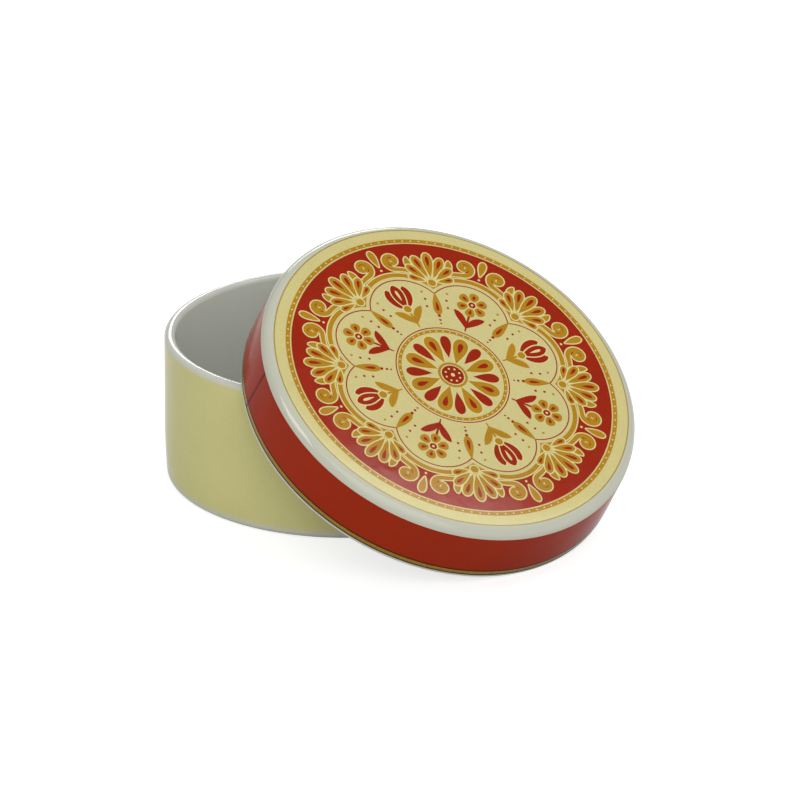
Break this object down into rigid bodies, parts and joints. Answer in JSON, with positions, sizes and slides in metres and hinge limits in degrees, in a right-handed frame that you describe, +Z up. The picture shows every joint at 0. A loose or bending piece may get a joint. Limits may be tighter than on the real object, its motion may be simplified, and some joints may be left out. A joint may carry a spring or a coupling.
{
  "type": "camembert baker",
  "caption": "Round glazed baking dish for one small cheese, with a flat cap lid that slips over it and leans open against its rim.",
  "frame": {"origin": "on the ground, under the middle of the bounding box of the dish and the leaning lid", "axes": "+X points the way the lid leans, from the dish towards the lip that stands on the ground; +Z is up"},
  "size_m": [0.188, 0.1424, 0.0947],
  "materials": {
    "dish": "glossy white glaze with a fired cream print on the outside",
    "lid": "glossy white glaze with a fired cream, ochre and red print"
  },
  "bodies": {
    "dish": {"dish": "dish"},
    "lid": {"lid": "lid"}
  },
  "joints": [
    {"name": "lid_lift", "type": "slide", "parent": "dish", "child": "lid", "axis": [0, 0, 1], "range_m": [0, 0.08]}
  ]
}
